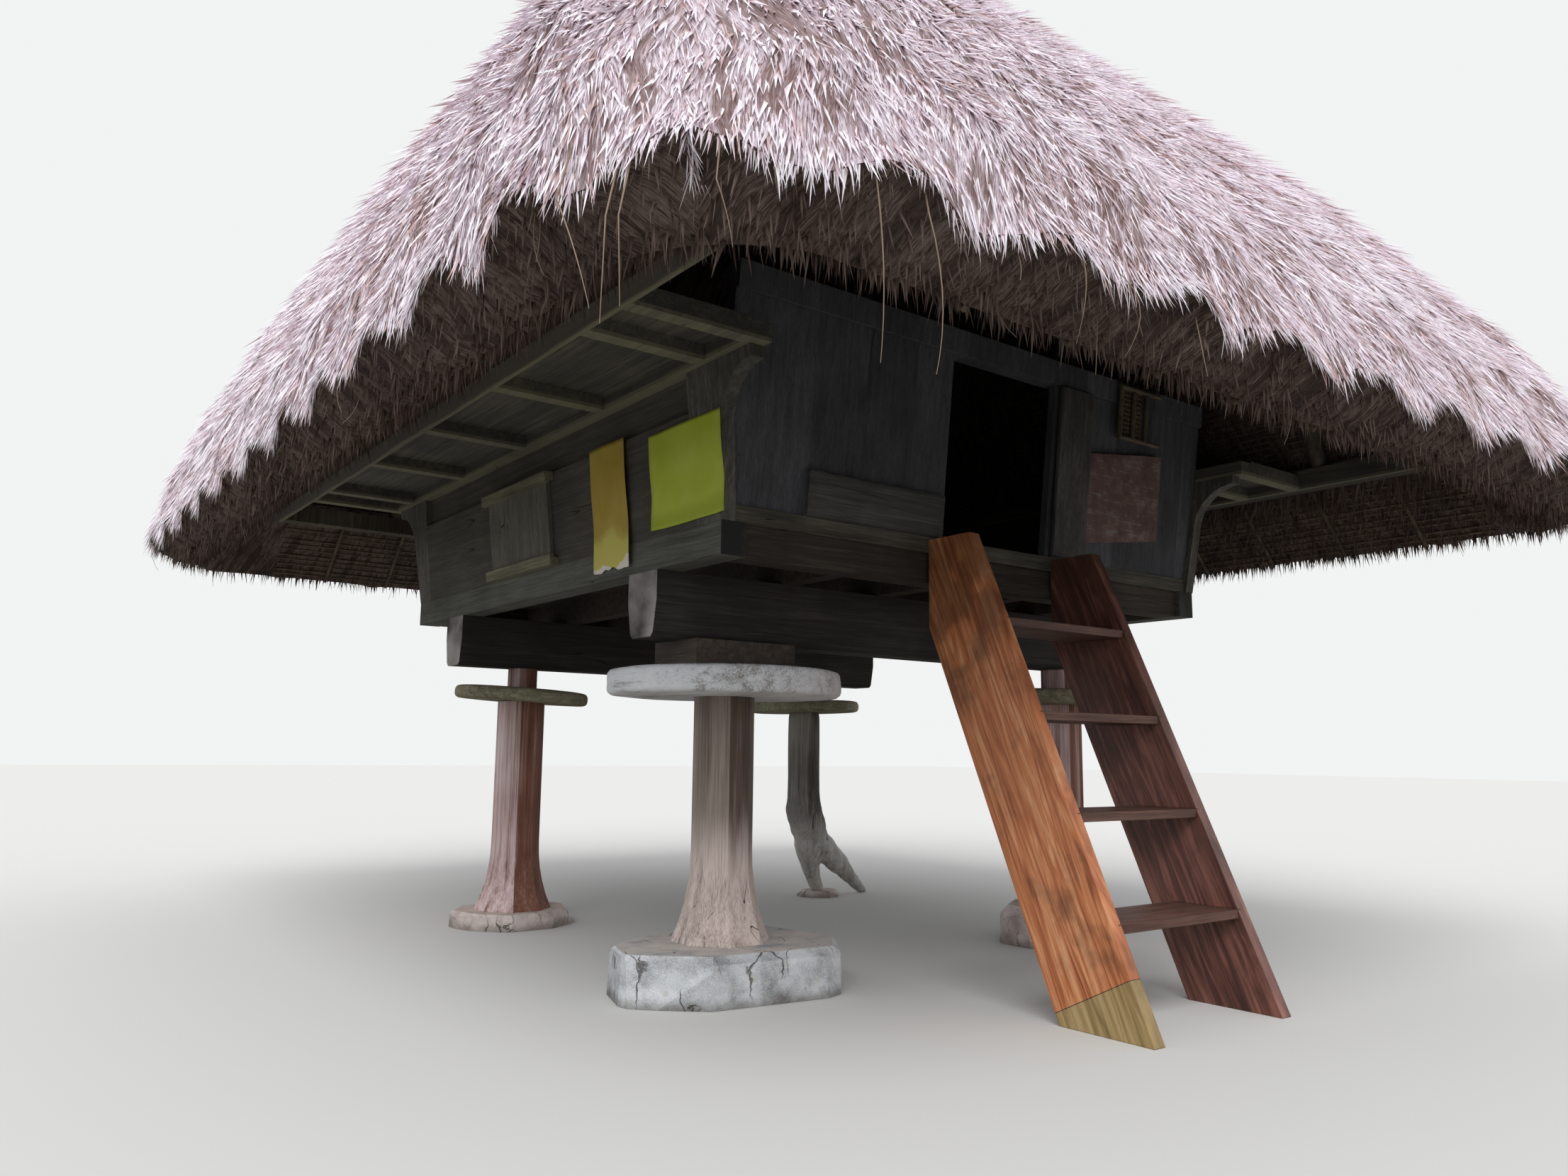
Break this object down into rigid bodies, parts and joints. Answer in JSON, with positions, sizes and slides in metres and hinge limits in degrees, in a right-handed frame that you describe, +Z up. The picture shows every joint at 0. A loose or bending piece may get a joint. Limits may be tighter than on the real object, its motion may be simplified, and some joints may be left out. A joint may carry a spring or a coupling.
{
  "type": "raised granary",
  "caption": "Raised wooden granary on three eight-sided posts and one forked trunk, with guard discs, leaning plank walls, coffered side eaves, a plank ladder and a thick hipped thatch roof.",
  "frame": {"origin": "on level ground, below the middle of the box, which is also the middle of the roof", "axes": "+Z up, +X to the right along the front wall, +Y from the front with the ladder towards the back"},
  "size_m": [6, 7.1, 6.23],
  "materials": {
    "stone": "rough",
    "post_wood": "weathered",
    "grey_wood": "weathered",
    "dark_wood": "weathered",
    "wall_wood": "weathered",
    "ladder_wood": "varnished",
    "thatch": "rough"
  },
  "bodies": {
    "root": {"stone_fl": "stone", "stone_fr": "stone", "stone_bl": "stone", "stone_br": "stone", "post_fl": "post_wood", "post_fr": "post_wood", "post_bl": "post_wood", "post_br": "post_wood", "guard_fl": "grey_wood", "guard_fr": "grey_wood", "guard_bl": "grey_wood", "guard_br": "grey_wood", "head_block": "post_wood", "girder_front": "dark_wood", "girder_back": "dark_wood", "sill_left": "dark_wood", "sill_right": "dark_wood", "floor_frame": "dark_wood", "floor_boards": "wall_wood", "wall_left": "wall_wood", "wall_right": "wall_wood", "wall_back": "wall_wood", "wall_front_left": "wall_wood", "wall_front_right": "wall_wood", "rail_front": "grey_wood", "head_front": "dark_wood", "corners_left": "grey_wood", "corners_right": "grey_wood", "shutter": "wall_wood", "shutter_rails": "grey_wood", "eave_left": "wall_wood", "eave_right": "wall_wood", "rafters_front": "dark_wood", "rafters_back": "dark_wood", "rafters_left": "dark_wood", "rafters_right": "dark_wood", "ridge_pole": "dark_wood", "thatch_front": "thatch", "thatch_back": "thatch", "thatch_left": "thatch", "thatch_right": "thatch", "ridge_cap": "thatch", "stringer_left": "ladder_wood", "stringer_right": "ladder_wood", "treads": "ladder_wood"}
  },
  "joints": []
}
